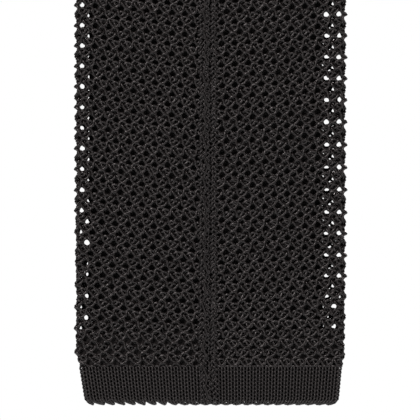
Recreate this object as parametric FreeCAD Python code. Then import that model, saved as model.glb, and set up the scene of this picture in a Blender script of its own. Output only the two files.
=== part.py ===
import FreeCAD, Part
import os

# A knitted necktie with a square end, hanging over a round rail.
# Millimetres. Z is up, X runs across the tie and Y runs through its thickness.
# The origin is the centre of the rail. The blade hangs on the +Y side of it and the
# narrower tail on the -Y side, so the decorative faces look outwards and the seam
# sides look towards each other.

# Rail and neck
rail_radius = 8.0
neck_half = 17.5
neck_bottom = -20.0

# Knitted tube: two layers with a narrow space between them for the interlining
layer = 1.1
cavity = 1.0
side_wall = 1.2
seam_width = 3.3
seam_clearance = 0.1
seam_proud = 0.3
lining_thickness = 0.6
lining_inset = 4.2

# Lengths, measured down from the rail's centre
taper_top = -150.0
taper_bottom = -400.0
blade_fold = -405.0
blade_end = -790.0
tail_fold = -345.0
tail_end = -670.0
bend_gap = 0.4

# Widths of the straight stretches
blade_half = 30.0
tail_half = 25.0

# Border at each end, and the facing that is turned up inside it
border_height = 8.5
shoulder_height = 2.5
border_top_inset = 0.8
border_bottom_inset = 2.0
border_corner_radius = 1.6
facing_height = 16.6
facing_clearance = 0.2
facing_stitches = 9
facing_stitch_length = 1.6
facing_stitch_height = 0.4

# Keeper loop on the blade's seam side, which the tail is tucked through
keeper_bottom = -592.0
keeper_height = 12.0
keeper_tab_half = 28.5
keeper_foot_half = 25.6
keeper_strap_half = 23.4
keeper_stand = 4.6
keeper_thickness = 0.6
tack_length = 2.2
tack_height = 0.6
tack_thickness = 0.3

# Blank woven label, sewn flat above the keeper, and the care label below it
label_bottom = -566.0
label_height = 15.0
label_half = 20.0
label_thickness = 0.5
care_top = -600.0
care_height = 14.0
care_half = 9.0
care_thickness = 0.5
care_clearance = 0.3
care_stitch_gap = 0.45

# Worked out from the dimensions above
near_face = rail_radius
near_inside = near_face + layer
far_inside = near_inside + cavity
far_face = far_inside + layer
lining_near = near_inside + (cavity - lining_thickness) / 2
lining_far = lining_near + lining_thickness
slot_half = seam_width / 2 + seam_clearance
half_gap = bend_gap / 2
facing_near = near_inside + tack_thickness
facing_far = facing_near + lining_thickness
beyond = 1.0


def point(x, y, z):
    return FreeCAD.Vector(x, y, z)


def block(x_range, y_range, z_range):
    """A box between the two values given along each axis."""
    corner = point(min(x_range), min(y_range), min(z_range))
    sizes = [max(pair) - min(pair) for pair in (x_range, y_range, z_range)]
    return Part.makeBox(sizes[0], sizes[1], sizes[2], corner)


def slab(outline, near, far, side):
    """A flat piece with the (x, z) outline, from near to far along Y on the given side."""
    corners = [point(x, side * near, z) for x, z in outline]
    face = Part.Face(Part.makePolygon(corners + corners[:1]))
    return face.extrude(point(0, side * (far - near), 0))


def arch(inner, outer, half_width):
    """The bent neck: half a ring over the rail, with a straight leg down each side."""
    leg_end = neck_bottom + half_gap
    outer_right = point(-half_width, outer, 0)
    outer_left = point(-half_width, -outer, 0)
    inner_right = point(-half_width, inner, 0)
    inner_left = point(-half_width, -inner, 0)
    leg = point(0, 0, leg_end)
    edges = [
        Part.Arc(outer_right, point(-half_width, 0, outer), outer_left).toShape(),
        Part.LineSegment(outer_left, outer_left + leg).toShape(),
        Part.LineSegment(outer_left + leg, inner_left + leg).toShape(),
        Part.LineSegment(inner_left + leg, inner_left).toShape(),
        Part.Arc(inner_left, point(-half_width, 0, inner), inner_right).toShape(),
        Part.LineSegment(inner_right, inner_right + leg).toShape(),
        Part.LineSegment(inner_right + leg, outer_right + leg).toShape(),
        Part.LineSegment(outer_right + leg, outer_right).toShape(),
    ]
    return Part.Face(Part.Wire(edges)).extrude(point(2 * half_width, 0, 0))


def strand_knots(full_half, end):
    """(height, half width) where the strand's edge changes direction, from top to end."""
    border_top = end + border_height
    return [
        (neck_bottom, neck_half),
        (taper_top, neck_half),
        (taper_bottom, full_half),
        (border_top + shoulder_height, full_half),
        (border_top, full_half - border_top_inset),
        (end, full_half - border_bottom_inset),
    ]


def half_width(knots, height):
    """Half the strand's width at a height, from the straight runs between its knots."""
    if height >= knots[0][0]:
        return knots[0][1]
    for (top, top_half), (bottom, bottom_half) in zip(knots, knots[1:]):
        if height >= bottom:
            share = (top - height) / (top - bottom)
            return top_half + share * (bottom_half - top_half)
    return knots[-1][1]


def strand_outline(knots, top, bottom, inset=0.0):
    """The strand's outline between two heights, drawn in from its side edges by inset."""
    between = [height for height, half in knots if bottom < height < top]
    heights = [top] + between + [bottom]
    right = [(half_width(knots, height) - inset, height) for height in heights]
    left = [(-x, height) for x, height in reversed(right)]
    return right + left


def seam_slot(top, bottom, side):
    """The space that the centre seam takes out of the layer on the seam side."""
    outline = [(slot_half, top), (slot_half, bottom), (-slot_half, bottom), (-slot_half, top)]
    return slab(outline, near_face - beyond, near_inside, side)


def knit_tube(knots, top, bottom, side):
    """A length of the flattened knitted tube, open at both ends and along the seam."""
    tube = slab(strand_outline(knots, top, bottom), near_face, far_face, side)
    inside = strand_outline(knots, top + beyond, bottom - beyond, side_wall)
    tube = tube.cut(slab(inside, near_inside, far_inside, side))
    return tube.cut(seam_slot(top + beyond, bottom - beyond, side))


def border(knots, top, bottom, side):
    """The plain-knit band that closes the strand's end, with rounded lower corners."""
    band = slab(strand_outline(knots, top, bottom), near_face, far_face, side)
    lower_corners = [
        edge
        for edge in band.Edges
        if all(abs(vertex.Z - bottom) < half_gap for vertex in edge.Vertexes)
        and abs(edge.Vertexes[0].X - edge.Vertexes[1].X) < half_gap
    ]
    band = band.makeFillet(border_corner_radius, lower_corners)
    inside = strand_outline(knots, top + beyond, bottom + side_wall, side_wall)
    band = band.cut(slab(inside, near_inside, far_inside, side))
    return band.cut(seam_slot(top + beyond, bottom - beyond, side))


def lining(knots, top, bottom, side):
    """The woven interlining inside the tube, narrower than it."""
    outline = strand_outline(knots, top, bottom, lining_inset)
    return slab(outline, lining_near, lining_far, side)


def seam(top, bottom, side):
    """The joined edges along the middle of the seam side, standing a little proud."""
    half = seam_width / 2
    outline = [(half, top), (half, bottom), (-half, bottom), (-half, top)]
    return slab(outline, near_face - seam_proud, near_inside, side)


def hem_facing(knots, end, side):
    """The fabric turned up inside the end, behind the border and a little above it."""
    inset = side_wall + facing_clearance
    outline = strand_outline(knots, end + facing_height, end + inset, inset)
    return slab(outline, facing_near, facing_far, side)


def facing_stitch_row(full_half, end, side):
    """Slip stitches that catch the facing's top edge to the layer on the seam side."""
    top = end + facing_height - facing_stitch_height
    reach = full_half - 2 * lining_inset
    pitch = 2 * reach / (facing_stitches - 1)
    stitches = []
    for number in range(facing_stitches):
        middle = pitch * number - reach
        stitches.append(
            block(
                (middle - facing_stitch_length / 2, middle + facing_stitch_length / 2),
                (side * near_inside, side * facing_near),
                (top - facing_stitch_height, top),
            )
        )
    # The middle stitch would lie inside the seam slot, so it is left out.
    del stitches[facing_stitches // 2]
    return Part.makeCompound(stitches)


def strand(name, side, full_half, fold, end):
    """Every node of one hanging strand, by name."""
    knots = strand_knots(full_half, end)
    upper_top = neck_bottom - half_gap
    upper_bottom = fold + half_gap
    lower_top = fold - half_gap
    border_top = end + border_height
    lining_end = end + facing_height + facing_clearance
    return {
        name + "_upper_knit": knit_tube(knots, upper_top, upper_bottom, side),
        name + "_upper_lining": lining(knots, upper_top, upper_bottom, side),
        name + "_upper_seam": seam(upper_top, upper_bottom, side),
        name + "_lower_knit": knit_tube(knots, lower_top, border_top, side),
        name + "_lower_lining": lining(knots, lower_top, lining_end, side),
        name + "_lower_seam": seam(lower_top, border_top, side),
        name + "_border": border(knots, border_top, end, side),
        name + "_border_seam": seam(border_top, end, side),
        name + "_hem_facing": hem_facing(knots, end, side),
        name + "_facing_stitches": facing_stitch_row(full_half, end, side),
    }


def neck():
    """The part of the tie that bends over the rail."""
    knit = arch(near_face, far_face, neck_half)
    knit = knit.cut(arch(near_inside, far_inside, neck_half - side_wall))
    knit = knit.cut(arch(near_face - beyond, near_inside, slot_half))
    return {
        "neck_knit": knit,
        "neck_lining": arch(lining_near, lining_far, neck_half - lining_inset),
        "neck_seam": arch(near_face, near_inside, seam_width / 2),
    }


def offset_line(points, distance):
    """Points of a bent line moved sideways by distance, with mitred corners."""
    normals = []
    for (x0, y0), (x1, y1) in zip(points, points[1:]):
        run = ((x1 - x0) ** 2 + (y1 - y0) ** 2) ** 0.5
        normals.append(((y1 - y0) / run, -(x1 - x0) / run))
    before = [normals[0]] + normals
    after = normals + [normals[-1]]
    moved = []
    for (x, y), (ax, ay), (bx, by) in zip(points, before, after):
        stretch = distance / (1 + ax * bx + ay * by)
        moved.append((x + stretch * (ax + bx), y + stretch * (ay + by)))
    return moved


def keeper_loop():
    """A strap that stands off the blade's seam side and is sewn down at both ends."""
    strap_y = near_face - keeper_stand
    inner = [
        (-keeper_tab_half, near_face),
        (-keeper_foot_half, near_face),
        (-keeper_strap_half, strap_y),
        (keeper_strap_half, strap_y),
        (keeper_foot_half, near_face),
        (keeper_tab_half, near_face),
    ]
    outer = offset_line(inner, keeper_thickness)
    corners = [point(x, y, keeper_bottom) for x, y in inner + outer[::-1]]
    face = Part.Face(Part.makePolygon(corners + corners[:1]))
    return face.extrude(point(0, 0, keeper_height))


def keeper_tacks():
    """Two short bar tacks through each end of the keeper."""
    tacks = []
    tab_face = near_face - keeper_thickness
    middle = (keeper_tab_half + keeper_foot_half) / 2
    for sign in (-1, 1):
        for height in (keeper_height * 0.2, keeper_height * 0.8):
            tacks.append(
                block(
                    (sign * middle - tack_length / 2, sign * middle + tack_length / 2),
                    (tab_face - tack_thickness, tab_face),
                    (
                        keeper_bottom + height - tack_height / 2,
                        keeper_bottom + height + tack_height / 2,
                    ),
                )
            )
    return Part.makeCompound(tacks)


def blank_label():
    """The woven label, lying on the seam's ridge."""
    ridge = near_face - seam_proud
    return block(
        (-label_half, label_half),
        (ridge - label_thickness, ridge),
        (label_bottom, label_bottom + label_height),
    )


def label_stitches():
    """Stitches under the label's corners, between it and the knit."""
    stitches = []
    for x in (-label_half + tack_length, label_half - tack_length):
        for z in (tack_length, label_height - tack_length):
            stitches.append(
                block(
                    (x - tack_length / 2, x + tack_length / 2),
                    (near_face - seam_proud, near_face),
                    (
                        label_bottom + z - tack_height / 2,
                        label_bottom + z + tack_height / 2,
                    ),
                )
            )
    return Part.makeCompound(stitches)


def care_label():
    """The small satin label that hangs from the seam by its top edge."""
    back = near_face - seam_proud - care_clearance
    return block(
        (-care_half, care_half),
        (back - care_thickness, back),
        (care_top - care_height, care_top),
    )


def care_label_stitches():
    """The thread that holds the care label's top edge to the seam."""
    ridge = near_face - seam_proud
    front = ridge - care_clearance - care_thickness / 2
    bottom = care_top + care_stitch_gap
    return block(
        (-seam_width / 2, seam_width / 2),
        (front, ridge),
        (bottom, bottom + tack_height),
    )


nodes = {}
nodes.update(neck())
nodes.update(strand("blade", 1, blade_half, blade_fold, blade_end))
nodes.update(strand("tail", -1, tail_half, tail_fold, tail_end))
nodes["keeper_loop"] = keeper_loop()
nodes["keeper_tacks"] = keeper_tacks()
nodes["blank_label"] = blank_label()
nodes["label_stitches"] = label_stitches()
nodes["care_label"] = care_label()
nodes["care_label_stitches"] = care_label_stitches()

os.makedirs("parts", exist_ok=True)
for name, shape in nodes.items():
    if not shape.isValid():
        raise ValueError(name + " isn't a valid shape")
    shape.exportStep("parts/" + name + ".step")
    print(name, len(shape.Solids), "solids,", round(shape.Volume, 1), "mm3")
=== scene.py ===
import math

import bpy
import mathutils
import numpy as np
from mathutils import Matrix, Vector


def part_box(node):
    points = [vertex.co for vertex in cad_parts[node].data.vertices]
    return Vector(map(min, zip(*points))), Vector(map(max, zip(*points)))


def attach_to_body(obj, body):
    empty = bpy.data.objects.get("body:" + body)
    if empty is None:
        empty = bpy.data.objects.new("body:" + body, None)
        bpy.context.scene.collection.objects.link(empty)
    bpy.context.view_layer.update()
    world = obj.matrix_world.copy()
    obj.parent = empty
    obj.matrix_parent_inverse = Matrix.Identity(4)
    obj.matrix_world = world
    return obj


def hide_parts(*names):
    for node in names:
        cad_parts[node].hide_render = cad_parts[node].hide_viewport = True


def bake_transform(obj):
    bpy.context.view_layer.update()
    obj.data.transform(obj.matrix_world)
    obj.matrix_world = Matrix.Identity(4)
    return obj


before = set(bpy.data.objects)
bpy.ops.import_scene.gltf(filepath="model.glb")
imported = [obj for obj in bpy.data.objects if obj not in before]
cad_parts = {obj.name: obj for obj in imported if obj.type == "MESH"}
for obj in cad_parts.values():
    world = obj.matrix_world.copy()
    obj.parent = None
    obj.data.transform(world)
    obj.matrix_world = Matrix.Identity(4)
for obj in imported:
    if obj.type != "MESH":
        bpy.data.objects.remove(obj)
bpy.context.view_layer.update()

# A knitted silk necktie hanging by its neck. Knit sizes are in millimetres and become
# metres when a mesh is made. Every course of the knit is a run of yarn that goes round
# the flattened tube, from one side of the centre seam to the other.
MM = 0.001


def box_mm(node):
    """The lowest and the highest corner of a CAD node, in millimetres."""
    return [np.array(corner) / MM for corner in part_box(node)]


# Sizes read from the frame. The rail's axis is the frame's X, and the cloth's inner and
# outer surfaces lie INNER and OUTER away from it.
neck_low, neck_high = box_mm("neck_knit")
NECK_HALF = neck_high[0]
NECK_BOTTOM = neck_low[2]
OUTER = neck_high[2]
INNER = OUTER - 3.2
MID = (INNER + OUTER) / 2
QUARTER = MID * math.pi / 2

# Yarns, as radii
YARN = 0.285
BORDER_YARN = 0.225
EDGE_YARN = 0.30
SEAM_YARN = 0.235
SEAM_LOOP_YARN = 0.25
SEWING_YARN = 0.12
FINE_SEWING_YARN = 0.11

# The tube: its layers, its edges and its rounded end
LAYER_OFFSET = 1.02
EDGE_ROOM = 0.35
END_ROUND = 1.3
CORNER = 1.5
END_PULL = 1.1
SHOULDER = 2.5
SHOULDER_PULL = 0.2
FULL_WIDTH_FROM = 40.0
TAPER_TOP = -150.0
TAPER_BOTTOM = -400.0
KNIT_GAP = 0.01
BORDER_GAP = 0.02

# The openwork: its cells, its rows, and how far every other row is racked sideways
CELL = 2.82
RIGHT_CELL = 2.885
LEFT_CELL = 2.834
ROW = 2.307
FIRST_ROW = 9.1
RACK = 0.97
JITTER = 0.09
RIGHT_EDGE_HOLE = 0.13
LEFT_EDGE_HOLE = 0.67
LAST_FACE_HOLE = 1.13
BULGE_REACH = 2.4
EVEN_BULGE = 0.34
ODD_BULGE = 0.24

# How the rows rise, sag and tilt on each half, fitted to the photograph. Spans are in rows.
SEEN_ROWS = 36.0
RIGHT_START = -0.66
RIGHT_RISE = 0.053
RIGHT_SAG = 1.45
SAG_SPAN = 24
RIGHT_TILT = -0.068
RIGHT_TILT_SPAN = 12
LEFT_LIFT = 1.65
LEFT_LIFT_SPAN = 4.5
LEFT_FALL = 0.85
FALL_START = 14
FALL_SPAN = 20
LEFT_TILT = 0.11
LEFT_TILT_SPAN = 8
LEFT_LEVELLING = 0.02

# How far the columns of holes slip near the end, and the top row and span they slip over
RIGHT_SLIP = 0.047
LEFT_SLIP = 0.063
LEFT_SLIP_START = 0.2
FACE_SLIP = 0.9
SLIP_MARGIN = 1.2
RIGHT_SLIP_ROWS = (10, 6)
LEFT_SLIP_ROWS = (18, 15)
FACE_SLIP_ROWS = (12, 4)

# How far the end of the tie leans sideways, at heights above its edge
LEAN_HEIGHTS = [0.0, 6.0, 14.0, 24.0]
LEAN_SHIFTS = [0.30, 0.10, -0.17, 0.0]

# The border, the facing and the interlining
BAND_COURSE = 0.84
SCALLOP = 2.57
FACING_START = 0.6
FACING_HEIGHT = 16.6
FACING_INSET = 0.45
LINING_START = FACING_HEIGHT - 2.0
LINING_INSET = 3.9
LINING_SHIFT = -1.05
LINING_LEAN = 0.55
LEAN_TOP = 26.0
LEAN_SPAN = 6.0

# The seam: each chain's place across the tie and the length of its stitches
SEAM_CHAINS = [(-2.15, 1.0), (-1.25, 1.05), (-0.35, 1.12), (0.45, 1.0), (1.05, 1.08)]
SEAM_START = 0.4

# The trim on the blade's back: how far off the knit each piece lies
LABEL_OFF = 0.55
CARE_OFF = 0.85
KEEPER_TACK_OFF = 0.72
CARE_TACK_OFF = 0.70
STITCH_OFF = 0.90

# The photographed end of the blade is in full detail up to this height
CLOSE = 105.0


class Strand:
    """One hanging side of the tie, with its lengths measured up from its square end."""

    def __init__(self, name, side):
        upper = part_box(name + "_upper_knit")
        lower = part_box(name + "_lower_knit")
        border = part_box(name + "_border")
        self.name = name
        self.side = side
        self.end = border[0][2] / MM
        self.border = (border[1][2] - border[0][2]) / MM
        self.half = lower[1][0] / MM
        self.border_top_half = border[1][0] / MM
        self.fold = (upper[0][2] + lower[1][2]) / 2 / MM
        self.fold_height = self.height(self.fold)
        self.neck_height = self.height(NECK_BOTTOM)
        self.middle = (self.fold_height + self.neck_height) / 2
        self.length = QUARTER - self.end
        self.flat_half = self.half - EDGE_ROOM - LAYER_OFFSET
        self.edge = math.pi * LAYER_OFFSET
        self.round = 4 * self.flat_half + 2 * self.edge

    def height(self, z):
        """Height above the end of a place z on the straight part."""
        return z - self.end


def half_width(strand, height):
    """Half the width of the tube's middle line at a height above the end."""
    knots = [
        (0.0, strand.border_top_half - END_PULL),
        (strand.border, strand.border_top_half),
        (strand.border + SHOULDER, strand.half - SHOULDER_PULL),
        (FULL_WIDTH_FROM, strand.half),
        (strand.height(TAPER_BOTTOM), strand.half),
        (strand.height(TAPER_TOP), NECK_HALF),
        (strand.length, NECK_HALF),
    ]
    width = np.interp(height, [k[0] for k in knots], [k[1] for k in knots])
    low = np.clip((CORNER - height) / CORNER, 0.0, 0.97)
    return width - EDGE_ROOM - CORNER * (1 - np.sqrt(1 - low**2))


def place(strand, along, height, out):
    """Points and outward normals for places on the tube.

    along runs round the tube to the right as seen from outside, from the centre seam;
    height is above the end, and out is how far the point stands off the layer's middle.
    """
    half = half_width(strand, height)
    low = np.clip((END_ROUND - height) / END_ROUND, 0.0, 0.98)
    offset = LAYER_OFFSET * np.sqrt(1 - low**2)
    flat = half - offset
    turn = math.pi * offset
    total = 4 * flat + 2 * turn
    s = along / strand.round * total

    # The seam side's right half, the right edge, the face, and the left edge; the seam
    # side's left half is what remains.
    parts = [s < flat, s < flat + turn, s < 3 * flat + turn, s < 3 * flat + 2 * turn]
    angle = np.where(parts[1], (s - flat) / offset, (s - 3 * flat - turn) / offset)
    sine = np.sin(angle)
    cosine = np.cos(angle)
    right = flat + offset * sine
    left = -flat - offset * sine
    across = np.select(parts, [s, right, 2 * flat + turn - s, left], s - total)
    deep = np.select(parts, [-offset, -offset * cosine, offset, offset * cosine], -offset)
    normal_x = np.select(parts, [0.0, sine, 0.0, -sine], 0.0)
    normal_n = np.select(parts, [-1.0, -cosine, 1.0, cosine], -1.0)
    x = across + out * normal_x
    n = deep + out * normal_n
    return lay_out(strand, x, height, n, normal_x, normal_n)


def lay_out(strand, x, height, n, normal_x, normal_n):
    """Hangs flat tie coordinates over the rail: points and normals in the frame."""
    x = x + np.interp(height, LEAN_HEIGHTS, LEAN_SHIFTS)
    run = strand.length - height
    bend = np.clip(run, None, QUARTER) / MID
    drop = np.clip(run - QUARTER, 0.0, None)
    y = (MID + n) * np.sin(bend)
    z = (MID + n) * np.cos(bend) - drop
    points = np.stack([strand.side * x, strand.side * y, z], axis=-1)
    normals = np.stack(
        [
            strand.side * normal_x,
            strand.side * normal_n * np.sin(bend),
            normal_n * np.cos(bend),
        ],
        axis=-1,
    )
    return points, normals


# Stitches: (along, up, out) points from one open hole to the next, repeated every CELL
GARLAND = [
    (0.06, 1.38, -0.34),
    (0.34, 1.02, -0.06),
    (0.56, 0.60, 0.10),
    (0.90, 0.22, 0.12),
    (1.42, 0.08, 0.04),
    (1.94, 0.22, 0.12),
    (2.28, 0.58, 0.12),
    (2.52, 0.94, 0.20),
    (2.72, 1.30, -0.12),
]
HELD_LOOP = [
    (0.54, -1.70, 0.02),
    (0.57, -1.28, 0.22),
    (0.66, -0.74, 0.14),
    (0.92, -0.26, 0.12),
    (1.42, -0.12, 0.20),
    (1.92, -0.26, 0.12),
    (2.20, -0.76, -0.06),
    (2.36, -1.36, 0.16),
    (2.74, -1.66, 0.02),
    (3.08, -1.80, -0.12),
]
TUCK = [
    (0.46, 0.90, -0.34),
    (0.62, 1.34, 0.00),
    (1.04, 1.58, 0.16),
    (1.52, 1.46, 0.14),
    (1.94, 1.20, 0.02),
    (2.30, 1.04, -0.35),
    (2.82, 1.14, -0.52),
]
INLAY = [
    (0.00, 1.26, -0.54),
    (0.62, 1.06, -0.50),
    (1.08, 0.86, -0.50),
    (1.42, 0.42, -0.55),
    (1.80, 0.62, -0.50),
    (2.20, 1.06, -0.50),
]
EYELET = [
    (-0.86, 0.00, -0.36),
    (-0.61, 0.61, -0.32),
    (0.00, 0.86, -0.34),
    (0.61, 0.61, -0.36),
    (0.86, 0.00, -0.36),
    (0.61, -0.61, -0.36),
    (0.00, -0.86, -0.34),
    (-0.66, -0.55, -0.44),
    (0.10, -1.00, -0.58),
    (1.20, -0.66, -0.50),
]


def mirrored(stitch):
    """The stitch leaning the other way."""
    return [(CELL - along, up, out) for along, up, out in reversed(stitch)]


def catmull(ring, base, f):
    """Points on the smooth curve through ring, at a share f past each base point."""
    p0, p1, p2, p3 = (ring[base + k] for k in range(4))
    return 0.5 * (
        2 * p1
        + (p2 - p0) * f
        + (2 * p0 - 5 * p1 + 4 * p2 - p3) * f**2
        + (3 * p1 - p0 - 3 * p2 + p3) * f**3
    )


def smooth(stitch, samples):
    """Samples of the closed-up curve through a stitch's points, as (share, up, out)."""
    points = np.array(stitch)
    shift = np.array([CELL, 0.0, 0.0])
    ring = np.concatenate([points[-1:] - shift, points, points[:2] + shift])
    t = np.arange(samples) * len(points) / samples
    base = t.astype(int)
    curve = catmull(ring, base, (t - base)[:, None])
    curve[:, 0] /= CELL
    return curve


def through(points, samples):
    """A smooth open curve through a few points."""
    points = np.array(points, dtype=float)
    before = 2 * points[:1] - points[1:2]
    after = 2 * points[-1:] - points[-2:-1]
    ring = np.concatenate([before, points, after])
    t = np.linspace(0, len(points) - 1, samples)
    base = np.minimum(t.astype(int), len(points) - 2)
    return catmull(ring, base, (t - base)[:, None])


def seam_side_holes(strand):
    """Where the open holes lie on the right half and on the left half of the seam side."""
    right = np.arange(strand.flat_half - RIGHT_EDGE_HOLE, -0.5, -RIGHT_CELL)[::-1]
    left = np.arange(strand.round - strand.flat_half - LEFT_EDGE_HOLE, strand.round, LEFT_CELL)
    return right, left


def hole_places(strand):
    """Where the open holes of a course lie round the tube, from seam to seam."""
    right, left = seam_side_holes(strand)
    count = round(2 * strand.flat_half / CELL) + 1
    middle = strand.round / 2
    first = middle - strand.flat_half + RIGHT_EDGE_HOLE
    last = middle + strand.flat_half - LAST_FACE_HOLE
    return np.concatenate([right, np.linspace(first, last, count), left])


def fading(rows, top_row, span):
    """1 near the end of the tie, falling smoothly to 0 at the top row."""
    share = np.clip((top_row - rows) / span, 0.0, 1.0)
    return share * share * (3 - 2 * share)


def row_heights(strand, rows, along):
    """Height of each row where the holes are: courses tilt differently on each half."""
    rows = rows[:, None]
    base = FIRST_ROW + ROW * rows
    seen = np.clip(rows, 0.0, SEEN_ROWS)
    right_edge = strand.flat_half
    left_edge = strand.round - right_edge
    sag = np.sin(math.pi * np.clip(rows / SAG_SPAN, 0, 1))
    right_lift = RIGHT_START + RIGHT_RISE * seen - RIGHT_SAG * sag
    right_tilt = RIGHT_TILT * np.clip(rows / RIGHT_TILT_SPAN, 0.0, 1.0)
    at_right = base + right_lift
    right = at_right + right_tilt * (right_edge - along)

    left_lift = LEFT_LIFT * (1 - np.exp(-rows / LEFT_LIFT_SPAN))
    left_lift = left_lift - LEFT_FALL * (np.clip(seen - FALL_START, 0, None) / FALL_SPAN) ** 1.5
    left_tilt = LEFT_TILT * (1 - np.exp(-rows / LEFT_TILT_SPAN))
    left_tilt = left_tilt - LEFT_LEVELLING * seen / SEEN_ROWS
    at_left = base + left_lift
    left = at_left - left_tilt * (along - left_edge)

    share = (along - right_edge) / (left_edge - right_edge)
    face = at_right + share * (at_left - at_right)
    return np.where(along < right_edge, right, np.where(along > left_edge, left, face))


def drift(strand, rows, along):
    """How far the columns of holes have slipped round the tube near its end."""
    rows = rows[:, None]
    from_left = strand.round - along
    right = RIGHT_SLIP * along * fading(rows, *RIGHT_SLIP_ROWS)
    left = -(LEFT_SLIP_START + LEFT_SLIP * from_left) * fading(rows, *LEFT_SLIP_ROWS)
    share = np.clip((along - strand.round / 2) / strand.flat_half, 0.0, 1.0)
    face = -FACE_SLIP * share * fading(rows, *FACE_SLIP_ROWS)
    edge = strand.flat_half + SLIP_MARGIN
    return np.where(along < edge, right, np.where(from_left < edge, left, face))


def yarn_mesh(name, groups):
    """One mesh object from groups of (points, normals, radius, sides, map places)."""
    vertex_parts = []
    face_parts = []
    uv_parts = []
    total = 0
    for points, normals, radius, sides, places in groups:
        rows, count, _ = points.shape
        tangent = np.gradient(points, axis=1)
        tangent /= np.linalg.norm(tangent, axis=2, keepdims=True) + 1e-12
        across = np.cross(tangent, normals)
        across /= np.linalg.norm(across, axis=2, keepdims=True) + 1e-12
        outward = np.cross(across, tangent)
        angles = np.arange(sides) * 2 * math.pi / sides
        ring = (
            np.cos(angles)[:, None] * outward[:, :, None, :]
            + np.sin(angles)[:, None] * across[:, :, None, :]
        )
        vertices = points[:, :, None, :] + radius * ring
        vertex_parts.append(vertices.reshape(-1, 3))
        index = total + np.arange(rows * count * sides).reshape(rows, count, sides)
        a = index[:, :-1, :]
        b = np.roll(a, -1, axis=2)
        c = np.roll(index[:, 1:, :], -1, axis=2)
        d = index[:, 1:, :]
        face_parts.append(np.stack([a, b, c, d], axis=-1).reshape(-1, 4))
        spread = np.repeat(places[:, :, None, :], sides, axis=2)
        uv_parts.append(spread.reshape(-1, 2))
        total += rows * count * sides
    return mesh_object(
        name,
        np.concatenate(vertex_parts) * MM,
        np.concatenate(face_parts),
        np.concatenate(uv_parts),
    )


def mesh_object(name, vertices, faces, places=None):
    """A smooth-shaded mesh of quads, with a flat map of the cloth as its UV layer."""
    mesh = bpy.data.meshes.new(name)
    mesh.vertices.add(len(vertices))
    mesh.vertices.foreach_set("co", vertices.astype(np.float32).ravel())
    mesh.loops.add(faces.size)
    mesh.loops.foreach_set("vertex_index", faces.astype(np.int32).ravel())
    mesh.polygons.add(len(faces))
    mesh.polygons.foreach_set("loop_start", np.arange(0, faces.size, 4, dtype=np.int32))
    mesh.polygons.foreach_set("use_smooth", np.ones(len(faces), dtype=bool))
    if places is not None:
        layer = mesh.uv_layers.new(name="OFBake")
        layer.uv.foreach_set("vector", places[faces.ravel()].astype(np.float32).ravel())
    mesh.update(calc_edges=True)
    mesh.validate()
    obj = bpy.data.objects.new(name, mesh)
    bpy.context.scene.collection.objects.link(obj)
    return obj


def edge_bulge(strand, along, up, even):
    """How far a course's stitches stand out where the tube folds at its side edges."""
    right_edge = strand.flat_half + strand.edge / 2
    left_edge = strand.round - right_edge
    near = np.minimum(abs(along - right_edge), abs(along - left_edge))
    closeness = np.clip(1 - near / BULGE_REACH, 0.0, 1.0)
    size = np.where(even, EVEN_BULGE, ODD_BULGE)
    return closeness * (size * np.cos(2 * math.pi * up / ROW) - 0.06)


def row_jitter(row, count):
    """Small seeded shifts of a row's holes, the same wherever the row is built."""
    return np.random.default_rng(int(row * 2)).normal(0.0, JITTER, (count, 2))


def cell_courses(strand, rows, cells, stitch_even, samples):
    """Yarn points of one stitch for the given rows and range of cells round the tube."""
    places = hole_places(strand)
    jitter = np.stack([row_jitter(row, len(places)) for row in rows])
    even = np.floor(rows) % 2 == 1
    holes = places[None, :] + RACK * ~even[:, None] + jitter[:, :, 0]
    holes = holes + drift(strand, rows, places)
    heights = row_heights(strand, rows, places[None, :]) + jitter[:, :, 1]
    curves = np.where(
        even[:, None, None], smooth(stitch_even, samples), smooth(mirrored(stitch_even), samples)
    )
    first, last = cells
    steps = np.arange((last - first) * samples + 1)
    cell = first + steps // samples
    share, up, out = np.moveaxis(curves[:, steps % samples], -1, 0)
    position = cell[None, :] + share
    lower = np.clip(np.floor(position).astype(int), 0, len(places) - 2)
    part = position - lower
    pick = np.arange(len(rows))[:, None]
    along = holes[pick, lower] * (1 - part) + holes[pick, lower + 1] * part
    height = heights[pick, lower] * (1 - part) + heights[pick, lower + 1] * part + up
    out = out + edge_bulge(strand, along, up, even[:, None])
    return along, np.maximum(height, strand.border - 0.1), out


def knit_group(strand, rows, cells, stitch, samples, sides, radius):
    """A group for yarn_mesh: one stitch over some rows and cells."""
    along, height, out = cell_courses(strand, rows, cells, stitch, samples)
    along = np.clip(along, KNIT_GAP, strand.round - KNIT_GAP)
    points, normals = place(strand, along, height, out)
    low = height.min()
    span = height.max() - low
    places = np.stack([along / strand.round, (height - low) / span], axis=-1)
    return points, normals, radius, sides, places


def cell_count(strand):
    """How many cells a course has, from one side of the seam to the other."""
    return len(hole_places(strand)) - 1


def rows_between(low, high):
    """Rows of the openwork whose holes lie between two heights above the end."""
    first = math.ceil((low - FIRST_ROW) / ROW)
    last = math.ceil((high - FIRST_ROW) / ROW)
    return np.arange(max(first, 0), last)


def knit_piece(strand, name, low, high, cells, detail):
    """Openwork between two heights; detail lists (stitch, samples, sides, radius)."""
    rows = rows_between(low, high)
    groups = [knit_group(strand, rows, cells, *line) for line in detail]
    return yarn_mesh(name, groups)


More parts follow.
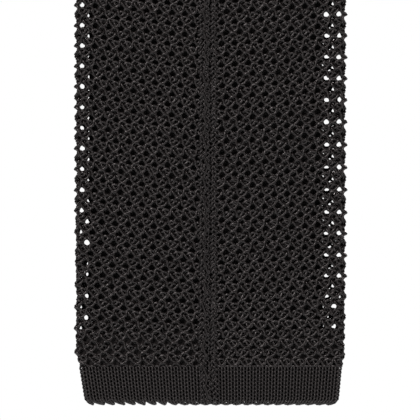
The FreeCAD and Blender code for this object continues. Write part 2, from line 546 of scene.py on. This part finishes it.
# Levels of detail: each stitch with its samples, the sides of its yarn and its radius
FINE = [
    (GARLAND, 16, 6, YARN),
    (HELD_LOOP, 18, 6, YARN),
    (TUCK, 14, 6, YARN),
    (EYELET, 22, 6, YARN),
    (INLAY, 8, 5, 0.32),
]
MEDIUM = [
    (GARLAND, 8, 4, YARN),
    (HELD_LOOP, 9, 4, YARN),
    (TUCK, 6, 3, YARN * 1.05),
    (EYELET, 11, 3, YARN * 1.1),
    (INLAY, 5, 3, 0.34),
]
COARSE = [
    (GARLAND, 5, 3, YARN * 1.25),
    (HELD_LOOP, 6, 3, YARN * 1.25),
    (EYELET, 7, 3, YARN * 1.3),
]


def stockinette(wales, samples):
    """One course of plain loops: (wale position, up, out) of every sample."""
    t = np.arange(wales * samples + 1) / samples
    turn = 2 * math.pi * t
    position = t + 0.155 * np.sin(2 * turn)
    up = -0.70 * BAND_COURSE * np.cos(turn)
    out = -0.20 * np.cos(2 * turn)
    return position, up, out


def across_of(strand, along):
    """Distance from the tie's centre line, negative on the left of the seam side."""
    quarter = strand.round / 4
    across = np.where(along > quarter, 2 * quarter - along, along)
    return np.where(along > 3 * quarter, along - 4 * quarter, across)


def scallops(strand, along, height):
    """The lower edge drawn up between pairs of wales, most at the photographed left."""
    across = across_of(strand, along)
    deep = 1 / (1 + np.exp((across + 9.0) / 0.8))
    depth = 0.30 + 0.60 * deep
    shape = (1 - np.abs(np.sin(math.pi * (across + 0.25) / SCALLOP))) ** 0.8
    return depth * shape * np.exp(-height / 1.1)


def border_knit(strand, name, samples, sides):
    """The plain-knit band round the end, with two yarns along its cast-off edge."""
    wales = 2 * cell_count(strand)
    courses = np.arange(round((strand.border - 1.0) / BAND_COURSE) + 1)
    position, up, out = stockinette(wales, samples)
    share = position / wales
    wander = np.random.default_rng(5).normal(0.0, 0.02, (len(courses), len(share)))
    along = np.clip(share * strand.round, BORDER_GAP, strand.round - BORDER_GAP)
    along = np.repeat(along[None, :], len(courses), axis=0)
    height = 0.22 + BAND_COURSE * courses[:, None] + up[None, :] + wander
    height = np.maximum(height, -0.1)
    height = height + scallops(strand, along, height)
    out = np.repeat(out[None, :], len(courses), axis=0)
    loops = border_group(strand, along, height, out, BORDER_YARN, sides)

    edge_along = np.repeat(along[:1], 2, axis=0)
    edge_height = np.array([[-0.02], [0.64]]) + 0.07 * np.sin(2 * math.pi * position)[None, :]
    edge_height = edge_height + scallops(strand, edge_along, edge_height)
    edge_out = np.full_like(edge_along, -0.2)
    edge = border_group(strand, edge_along, edge_height, edge_out, EDGE_YARN, sides)
    return yarn_mesh(name, [loops, edge])


def border_group(strand, along, height, out, radius, sides):
    """A group for yarn_mesh: courses of the border."""
    points, normals = place(strand, along, height, out)
    places = np.stack([along / strand.round, height / (strand.border + 2)], axis=-1)
    return points, normals, radius, sides, places


def seam_chain(strand, name, low, high, samples, sides):
    """The linked seam: uneven chains side by side, and a larger loop every two rows."""
    local = np.random.default_rng(11)
    groups = []
    for column, (middle, pitch) in enumerate(SEAM_CHAINS):
        count = int((high - low) / pitch)
        t = np.arange(count * samples + 1) / samples
        turn = 2 * math.pi * t
        knots = np.arange(count + 2)
        size = np.interp(t, knots, local.uniform(0.45, 1.3, count + 2))
        sway = np.interp(t, knots, local.normal(0.0, 0.13, count + 2))
        raised = np.interp(t, knots, local.normal(0.0, 0.10, count + 2))
        lean = 1 if column % 2 else -1
        x = middle + sway + lean * 0.40 * size * np.sin(turn)
        h = low + pitch * (t + 0.24 * size * np.sin(2 * turn))
        n = -LAYER_OFFSET - 0.34 + raised + 0.16 * np.cos(turn + column) * size
        groups.append(seam_yarn(strand, x, h, n, low, high, SEAM_YARN, sides))
    count = int((high - low) / (2 * ROW))
    t = np.arange(count * 2 * samples + 1) / (2 * samples)
    turn = 2 * math.pi * t
    x = -1.2 + 0.75 * np.sin(turn) + 0.25 * np.sin(turn * 0.37)
    h = low + 2 * ROW * (t + 0.20 * np.sin(2 * turn))
    n = -LAYER_OFFSET - 0.62 + 0.12 * np.cos(turn)
    groups.append(seam_yarn(strand, x, h, n, low, high, SEAM_LOOP_YARN, sides))
    return yarn_mesh(name, groups)


def seam_yarn(strand, x, height, n, low, high, radius, sides):
    """One yarn of the seam, from flat tie coordinates."""
    height = np.clip(height, max(low, 0.25), high)[None]
    zeros = np.zeros_like(height)
    points, normals = lay_out(strand, x[None], height, n[None], zeros, zeros - 1)
    places = np.stack([0.5 + x[None] / 8, (height - low) / (high - low)], axis=-1)
    return points, normals, radius, sides, places


def strip(strand, name, low, high, inset, near, far, shift=0.0, lean=0.0, step=4.0):
    """A thin closed sheet inside the tube; shift and lean move it and its end sideways."""
    steps = max(2, int((high - low) / step))
    heights = np.linspace(low, high, steps + 1)
    half = half_width(strand, heights) - inset
    columns = np.linspace(-1, 1, 13)
    ripple = 0.05 * np.sin(heights[:, None] / 9.0 + 3 * columns[None, :])
    middle = shift + lean * np.clip((LEAN_TOP - heights) / LEAN_SPAN, 0.0, 1.0)
    x = half[:, None] * columns[None, :] + middle[:, None]
    grid_h = np.repeat(heights[:, None], len(columns), axis=1)
    zeros = np.zeros_like(x)
    front, _ = lay_out(strand, x, grid_h, near + ripple, zeros, zeros - 1)
    back, _ = lay_out(strand, x, grid_h, far + ripple, zeros, zeros + 1)
    return closed_sheet(name, front, back)


def closed_sheet(name, front, back):
    """A thin closed mesh between two grids of points."""
    rows, cols, _ = front.shape
    vertices = np.concatenate([front.reshape(-1, 3), back.reshape(-1, 3)])
    a = np.arange(rows * cols).reshape(rows, cols)
    b = a + rows * cols
    quads = [
        np.stack([a[:-1, :-1], a[:-1, 1:], a[1:, 1:], a[1:, :-1]], -1).reshape(-1, 4),
        np.stack([b[:-1, :-1], b[1:, :-1], b[1:, 1:], b[:-1, 1:]], -1).reshape(-1, 4),
        np.stack([a[:-1, 0], a[1:, 0], b[1:, 0], b[:-1, 0]], -1),
        np.stack([a[:-1, -1], b[:-1, -1], b[1:, -1], a[1:, -1]], -1),
        np.stack([a[0, :-1], b[0, :-1], b[0, 1:], a[0, 1:]], -1),
        np.stack([a[-1, :-1], a[-1, 1:], b[-1, 1:], b[-1, :-1]], -1),
    ]
    return mesh_object(name, vertices * MM, np.concatenate(quads))


def band(name, line, low, high, thickness, rib):
    """A ribbed ribbon that follows a line of (x, y) points, between two heights."""
    line = through(line, 420)
    step = np.gradient(line, axis=0)
    step /= np.linalg.norm(step, axis=1, keepdims=True)
    normal = np.stack([-step[:, 1], step[:, 0]], axis=1)
    run = np.cumsum(np.linalg.norm(np.diff(line, axis=0, prepend=line[:1]), axis=1))
    ribs = 0.05 * np.cos(2 * math.pi * run / rib)
    share = np.linspace(-1, 1, 17)
    selvedge = 0.10 * np.exp(-(((1 - np.abs(share)) / 0.1) ** 2))
    heights = (low + high) / 2 + (high - low) / 2 * share
    half = thickness / 2 - 0.12 + ribs[:, None] + selvedge[None, :]
    sides = []
    for sign in (-1, 1):
        flat = line[:, None, :] + sign * half[:, :, None] * normal[:, None, :]
        z = np.repeat(heights[None, :, None], len(line), axis=0)
        sides.append(np.concatenate([flat, z], axis=2))
    return closed_sheet(name, *sides)


def label(name, half, low, high, y, thickness, turned, lift):
    """A small woven label, with its ends turned under and its free corners lifting."""
    x = np.linspace(-half, half, 61)[:, None]
    z = np.linspace(low, high, 31)[None, :]
    reach = np.abs(x) / half
    down = (high - z) / (high - low)
    fold = 0.08 * np.exp(-(((half - np.abs(x)) / turned) ** 4)) + 0 * z
    wave = 0.04 * np.sin(x / 2.3 + z / 4.0) + 0.03 * np.sin(z / 1.7)
    middle = y + wave + 0.10 * reach**2 - lift * reach**2 * down**2
    sides = []
    for sign in (-1, 1):
        depth = middle + sign * (thickness / 2 - 0.08 + fold)
        grid = [x + 0 * z, depth, z + 0 * x]
        sides.append(np.stack(grid, axis=-1))
    return closed_sheet(name, *sides)


def thread(name, paths, radius, samples):
    """Sewing thread along smooth curves through points in the frame."""
    groups = []
    for path in paths:
        points = through(path, samples)[None]
        normals = np.zeros_like(points) + np.array([0.31, -0.87, 0.38])
        share = np.linspace(0, 1, samples)[None]
        places = np.stack([share, share], axis=-1)
        groups.append((points, normals, radius, 6, places))
    return yarn_mesh(name, groups)


def bar_tack(x, y, z, length, height, turns):
    """Points of one dense zigzag bar of thread, facing -Y."""
    share = np.linspace(-0.5, 0.5, 2 * turns + 1)
    side = np.where(np.arange(2 * turns + 1) % 2 == 0, -0.5, 0.5)
    return [(x + length * a, y, z + height * b) for a, b in zip(share, side)]


# Materials
def nodes_of(name):
    """A new material, its node tree and its shader."""
    material = bpy.data.materials.new(name)
    material.use_nodes = True
    tree = material.node_tree
    return material, tree, tree.nodes["Principled BSDF"]


def object_place(tree):
    """The place of a point on its own object, which noise and waves are laid out in."""
    return tree.nodes.new("ShaderNodeTexCoord").outputs["Object"]


def noise(tree, vector, scale, detail):
    """A cloudy pattern."""
    node = tree.nodes.new("ShaderNodeTexNoise")
    node.inputs["Scale"].default_value = scale
    node.inputs["Detail"].default_value = detail
    tree.links.new(vector, node.inputs["Vector"])
    return node.outputs["Fac"]


def wave(tree, vector, direction, scale):
    """Even bands along one axis."""
    node = tree.nodes.new("ShaderNodeTexWave")
    node.bands_direction = direction
    node.inputs["Scale"].default_value = scale
    tree.links.new(vector, node.inputs["Vector"])
    return node.outputs["Fac"]


def two_tones(tree, shader, pattern, dark, light, low=0.0, high=1.0):
    """Colours the shader from dark to light where the pattern goes from low to high."""
    ramp = tree.nodes.new("ShaderNodeValToRGB")
    first, last = ramp.color_ramp.elements
    first.position = low
    first.color = (*dark, 1)
    last.position = high
    last.color = (*light, 1)
    tree.links.new(pattern, ramp.inputs["Fac"])
    tree.links.new(ramp.outputs["Color"], shader.inputs["Base Color"])


def relief(tree, shader, pattern, strength, distance):
    """Raises the surface a little where the pattern is light."""
    bump = tree.nodes.new("ShaderNodeBump")
    bump.inputs["Strength"].default_value = strength
    bump.inputs["Distance"].default_value = distance
    tree.links.new(pattern, bump.inputs["Height"])
    tree.links.new(bump.outputs["Normal"], shader.inputs["Normal"])


def silk(name, dark, light, roughness=0.40, plies=0.0):
    """Black silk yarn, its lighter patches random tone with painted glints; plies is how strong
    its fibres show.
    """
    material, tree, shader = nodes_of(name)
    vector = object_place(tree)
    # Painted glints: small lighter noise patches in the colour, mixed with random tone.
    two_tones(tree, shader, noise(tree, vector, 1900.0, 3.0), dark, light, 0.38, 0.62)
    if plies > 0:
        relief(tree, shader, noise(tree, vector, 2400.0, 2.0), plies, 0.0002)
    shader.inputs["Roughness"].default_value = roughness
    shader.inputs["Specular IOR Level"].default_value = 0.5
    shader.inputs["Sheen Weight"].default_value = 0.02
    shader.inputs["Sheen Roughness"].default_value = 0.4
    return material


def woven(name, dark, light, scale, roughness=0.7):
    """A fine plain weave, for the interlining and the ribbon."""
    material, tree, shader = nodes_of(name)
    vector = object_place(tree)
    both = tree.nodes.new("ShaderNodeMath")
    both.operation = "MULTIPLY"
    tree.links.new(wave(tree, vector, "X", scale), both.inputs[0])
    tree.links.new(wave(tree, vector, "Z", scale), both.inputs[1])
    two_tones(tree, shader, both.outputs["Value"], dark, light)
    shader.inputs["Roughness"].default_value = roughness
    shader.inputs["Specular IOR Level"].default_value = 0.15
    return material


def satin(name, dark, light, roughness):
    """Fine warp-faced satin: thin float streaks painted lighter as sheen, with a slow change of
    tone.
    """
    material, tree, shader = nodes_of(name)
    stretch = tree.nodes.new("ShaderNodeMapping")
    stretch.inputs["Scale"].default_value = (6.0, 1.0, 1.0)
    tree.links.new(object_place(tree), stretch.inputs["Vector"])
    floats_and_sheen = noise(tree, stretch.outputs["Vector"], 900.0, 4.0)
    # Painted sheen: the float streaks are lighter in the colour; the same pattern also raises
    # them.
    two_tones(tree, shader, floats_and_sheen, dark, light, 0.35, 0.65)
    relief(tree, shader, floats_and_sheen, 0.25, 0.0001)
    shader.inputs["Roughness"].default_value = roughness
    shader.inputs["Anisotropic"].default_value = 0.5
    shader.inputs["Specular IOR Level"].default_value = 0.5
    return material


knit_silk = silk("knit_silk", (0.0060, 0.0052, 0.0052), (0.0150, 0.0129, 0.0127))
end_silk = silk("end_silk", (0.0050, 0.0043, 0.0043), (0.0140, 0.0120, 0.0117), 0.32, 0.7)
border_silk = silk("border_silk", (0.0060, 0.0052, 0.0052), (0.0138, 0.0119, 0.0117))
# The seam's silk is the knit's silk made darker: painted shade along the seam line.
seam_silk = silk("seam_silk", (0.0045, 0.0040, 0.0040), (0.0120, 0.0104, 0.0102))
thread_silk = silk("sewing_thread_silk", (0.0100, 0.0090, 0.0090), (0.0240, 0.0212, 0.0210))
interlining = woven("interlining_weave", (0.0200, 0.0188, 0.0188), (0.0380, 0.0360, 0.0360), 700)
grosgrain = woven("grosgrain_weave", (0.0070, 0.0064, 0.0064), (0.0190, 0.0176, 0.0174), 900, 0.5)
label_satin = satin("label_satin", (0.0120, 0.0110, 0.0115), (0.0300, 0.0275, 0.0280), 0.34)
care_satin = satin("care_satin", (0.62, 0.60, 0.55), (0.80, 0.78, 0.73), 0.40)


def finish_piece(piece, material, nodes):
    """Gives a piece its material and hides the CAD nodes it stands for."""
    piece.data.materials.append(material)
    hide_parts(*nodes)


def attach(piece, strand, low, high):
    """Rides a piece on its body, or leaves it unattached with its placement applied where it
    crosses the neck or the fold.
    """
    upper = strand.name + "_upper"
    lower = strand.name + "_lower"
    if low < strand.neck_height < high:
        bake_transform(piece)
    elif low < strand.fold_height < high:
        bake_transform(piece)
    elif high <= strand.fold_height:
        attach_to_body(piece, lower)
    else:
        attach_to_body(piece, upper)


def knit_nodes(strand, low, high):
    """The CAD nodes that a stretch of knit stands for."""
    names = []
    if low < strand.fold_height:
        names.append(strand.name + "_lower_knit")
    if high > strand.fold_height and low < strand.neck_height:
        names.append(strand.name + "_upper_knit")
    if high > strand.neck_height:
        names.append("neck_knit")
    return names


def build_strand(strand, breaks, detailed):
    """All the pieces of one strand; breaks are where its knit is cut into lengths."""
    shell = build_knit(strand, breaks)
    if detailed:
        shell += build_end_knit(strand)
    edge_knit = build_border(strand, detailed)
    build_interlining(strand)
    build_facing(strand)
    build_facing_stitches(strand)
    build_seam(strand, detailed)


def build_knit(strand, breaks):
    """The openwork in plain lengths. Returns each piece with the height where it starts."""
    shell = []
    cells = (0, cell_count(strand))
    for number, (low, high) in enumerate(zip(breaks, breaks[1:])):
        title = f"{strand.name}_knit_{number + 1}"
        piece = knit_piece(strand, title, low, high, cells, COARSE)
        finish_piece(piece, knit_silk, knit_nodes(strand, low, high))
        attach(piece, strand, low, high)
        shell.append((piece, low))
    return shell


def build_end_knit(strand):
    """The detailed openwork up to CLOSE: each half of the seam side, and the face."""
    shell = []
    name = strand.name
    count = cell_count(strand)
    right, left = (len(holes) for holes in seam_side_holes(strand))
    parts = {
        "right": ((0, right), FINE),
        "left": ((count - left, count), FINE),
        "face": ((right, count - left), MEDIUM),
    }
    levels = np.linspace(0.0, CLOSE, 5)
    for part, (cells, detail) in parts.items():
        for level, (low, high) in enumerate(zip(levels, levels[1:])):
            title = f"{name}_end_{part}_knit_{level + 1}"
            piece = knit_piece(strand, title, low, high, cells, detail)
            finish_piece(piece, end_silk, [name + "_lower_knit"])
            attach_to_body(piece, name + "_lower")
            shell.append((piece, low))
    return shell


def build_border(strand, detailed):
    """The plain-knit border."""
    detail = (12, 6) if detailed else (6, 4)
    piece = border_knit(strand, strand.name + "_border_knit", *detail)
    finish_piece(piece, border_silk, [strand.name + "_border"])
    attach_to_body(piece, strand.name + "_lower")
    return piece


def build_interlining(strand):
    """The interlining in two lengths, which lie inside the knit shell."""
    name = strand.name
    lengths = {"lower": (LINING_START, strand.middle), "upper": (strand.middle, strand.length)}
    for part, (low, high) in lengths.items():
        title = f"{name}_interlining_{part}"
        piece = strip(
            strand, title, low, high, LINING_INSET, 0.0, 0.35, LINING_SHIFT, LINING_LEAN
        )
        nodes = [f"{name}_{part}_lining"]
        if part == "upper":
            nodes.append("neck_lining")
        finish_piece(piece, interlining, nodes)
        cut = strip_cut(strand, low, high, LINING_INSET)
        attach(piece, strand, low, high)


def build_facing(strand):
    """The facing turned up inside the end."""
    name = strand.name
    low, high = FACING_START, FACING_HEIGHT
    piece = strip(strand, name + "_facing", low, high, FACING_INSET, -0.35, -0.05, step=1.0)
    finish_piece(piece, interlining, [name + "_hem_facing"])
    cut = strip_cut(strand, low, high, FACING_INSET)
    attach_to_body(piece, name + "_lower")


def build_facing_stitches(strand):
    """One thread of hem stitches along the facing's top edge."""
    edge = FACING_HEIGHT - 0.4
    reach = strand.half - 8.4
    stitch = [(-0.8, -0.5, -0.42), (-0.3, 0.5, -0.80), (0.3, 0.5, -0.80), (0.8, -0.5, -0.42)]
    line = []
    for middle in np.linspace(-reach, reach, 9):
        line += [(middle + across, edge + up, out) for across, up, out in stitch]
    x, height, n = np.array(line).T
    zeros = np.zeros_like(x)
    path, _ = lay_out(strand, x, height, n, zeros, zeros - 1)
    piece = thread(strand.name + "_facing_thread", [path], SEWING_YARN, 240)
    finish_piece(piece, thread_silk, [strand.name + "_facing_stitches"])
    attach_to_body(piece, strand.name + "_lower")


def strip_cut(strand, low, high, inset):
    """Width, length and area of a strip's flat cut, in metres."""
    heights = np.linspace(low, high, 200)
    widths = 2 * (half_width(strand, heights) - inset)
    width = widths.max() * MM
    length = (high - low) * MM
    return width, length, widths.mean() * MM * length


def build_seam(strand, detailed):
    """The linked seam in three lengths, with more detail near the photographed end."""
    name = strand.name
    fine = (10, 5) if detailed else (6, 3)
    middle = strand.middle
    lengths = [
        ("end", SEAM_START, CLOSE, fine, [name + "_lower_seam", name + "_border_seam"]),
        ("lower", CLOSE, middle, (6, 3), [name + "_lower_seam"]),
        ("upper", middle, strand.length, (6, 3), [name + "_upper_seam", "neck_seam"]),
    ]
    for part, low, high, detail, nodes in lengths:
        piece = seam_chain(strand, f"{name}_seam_{part}", low, high, *detail)
        finish_piece(piece, seam_silk, nodes)
        attach(piece, strand, low, high)


def build_keeper():
    """The keeper ribbon, which bows off the knit between its two sewn tabs."""
    low, high = box_mm("keeper_loop")
    stand = low[1] + 0.3
    line = [
        (-28.4, INNER - 0.3),
        (-26.6, INNER - 0.3),
        (-25.1, INNER - 0.9),
        (-23.9, stand + 0.8),
        (-22.4, stand + 0.15),
        (-11.0, stand - 0.05),
        (0.0, stand - 0.10),
    ]
    line = line + [(-x, y) for x, y in line[-2::-1]]
    piece = band("keeper_ribbon", line, low[2], high[2], 0.6, 0.85)
    finish_piece(piece, grosgrain, ["keeper_loop"])
    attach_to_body(piece, "blade_lower")


def build_keeper_tacks():
    """Four bar tacks, at the corners of the keeper's tabs."""
    low, high = box_mm("keeper_tacks")
    y = INNER - KEEPER_TACK_OFF
    paths = []
    for sign in (-1, 1):
        for z in (low[2] + 0.3, high[2] - 0.3):
            paths.append(bar_tack(sign * (high[0] - 1.1), y, z, 2.2, 0.9, 7))
    piece = thread("keeper_bar_tacks", paths, FINE_SEWING_YARN, 150)
    finish_piece(piece, thread_silk, ["keeper_tacks"])
    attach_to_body(piece, "blade_lower")


def build_woven_label():
    """The blank label, and three stitches over each of its corners."""
    low, high = box_mm("blank_label")
    piece = label("woven_label", high[0], low[2], high[2], INNER - LABEL_OFF, 0.5, 2.4, 0.0)
    finish_piece(piece, label_satin, ["blank_label"])
    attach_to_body(piece, "blade_lower")

    knit = INNER
    over = INNER - STITCH_OFF
    paths = []
    for x in (low[0] + 2.2, high[0] - 2.2):
        for z in (low[2] + 2.2, high[2] - 2.2):
            for up in (z - 0.24, z, z + 0.24):
                start = [(x - 1.0, knit, up), (x - 0.9, over, up)]
                end = [(x + 0.9, over, up + 0.1), (x + 1.0, knit, up)]
                paths.append(start + end)
    stitches = thread("label_corner_stitches", paths, FINE_SEWING_YARN, 24)
    finish_piece(stitches, thread_silk, ["label_stitches"])
    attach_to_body(stitches, "blade_lower")


def build_care_label():
    """The blank care label, and the bar tack that it hangs by."""
    low, high = box_mm("care_label")
    piece = label("care_label_satin", high[0], low[2], high[2], INNER - CARE_OFF, 0.5, 1.2, 0.5)
    finish_piece(piece, care_satin, ["care_label"])
    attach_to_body(piece, "care_label")

    low, high = box_mm("care_label_stitches")
    tack = bar_tack(0.0, INNER - CARE_TACK_OFF, (low[2] + high[2]) / 2, 3.2, 0.5, 8)
    sewn = thread("care_label_thread", [tack], SEWING_YARN, 160)
    finish_piece(sewn, thread_silk, ["care_label_stitches"])
    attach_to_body(sewn, "blade_lower")


blade = Strand("blade", 1)
tail = Strand("tail", -1)
build_strand(blade, [CLOSE, 185, 265, 345, 425, 505, 585, 665, 740, blade.length], True)
build_strand(tail, [0.0, 90, 180, 270, 370, 460, 550, 625, tail.length], False)
build_keeper()
build_keeper_tacks()
build_woven_label()
build_care_label()


# Floor, light and camera
def build_floor():
    """A plain pale floor."""
    spot = (0, 0, -1.2)
    bpy.ops.mesh.primitive_circle_add(vertices=96, radius=2.5, fill_type="NGON", location=spot)
    floor = bpy.context.object
    floor.name = "floor"
    material, _, shader = nodes_of("floor_paint")
    shader.inputs["Base Color"].default_value = (0.83, 0.90, 0.91, 1)
    shader.inputs["Roughness"].default_value = 0.9
    floor.data.materials.append(material)


def build_world():
    """Soft light from all round, with a backdrop that is white to the camera only."""
    world = bpy.data.worlds.new("studio")
    world.use_nodes = True
    nodes = world.node_tree.nodes
    links = world.node_tree.links
    backdrop = nodes["Background"]
    backdrop.inputs["Color"].default_value = (1, 1, 1, 1)
    room = nodes.new("ShaderNodeBackground")
    room.inputs["Color"].default_value = (1, 0.94, 0.93, 1)
    room.inputs["Strength"].default_value = 0.085
    ray = nodes.new("ShaderNodeLightPath")
    mix = nodes.new("ShaderNodeMixShader")
    links.new(ray.outputs["Is Camera Ray"], mix.inputs["Fac"])
    links.new(room.outputs["Background"], mix.inputs[1])
    links.new(backdrop.outputs["Background"], mix.inputs[2])
    links.new(mix.outputs["Shader"], nodes["World Output"].inputs["Surface"])
    bpy.context.scene.world = world
    bpy.context.scene.view_settings.view_transform = "Standard"


def area_light(name, location, target, size, power):
    """A round soft box."""
    data = bpy.data.lights.new(name, "AREA")
    data.shape = "DISK"
    data.size = size
    data.energy = power
    data.color = (1.0, 0.90, 0.89)
    light = bpy.data.objects.new(name, data)
    light.location = location
    aim = mathutils.Vector(target) - mathutils.Vector(location)
    light.rotation_euler = aim.to_track_quat("-Z", "Y").to_euler()
    bpy.context.scene.collection.objects.link(light)


def place_camera(distance, view_height, middle):
    """A camera in front of the seam side that sees view_height metres of the blade."""
    data = bpy.data.cameras.new("camera")
    data.sensor_width = 36.0
    data.lens = data.sensor_width * (distance + MID * MM) / view_height
    data.clip_end = 50.0
    camera = bpy.data.objects.new("camera", data)
    camera.location = (-0.0001, -distance, middle)
    camera.rotation_euler = (math.pi / 2, 0, 0)
    bpy.context.scene.collection.objects.link(camera)
    bpy.context.scene.camera = camera


build_floor()
build_world()
area_light("key_box", (-0.9, -1.4, 0.4), (0, 0, -0.7), 0.7, 28)
area_light("fill_box", (1.3, -1.2, -0.5), (0, 0, -0.7), 0.9, 7)
area_light("back_box", (0.3, 1.6, 0.3), (0, 0, -0.5), 0.9, 40)
place_camera(distance=1.2, view_height=0.093, middle=-0.74705)
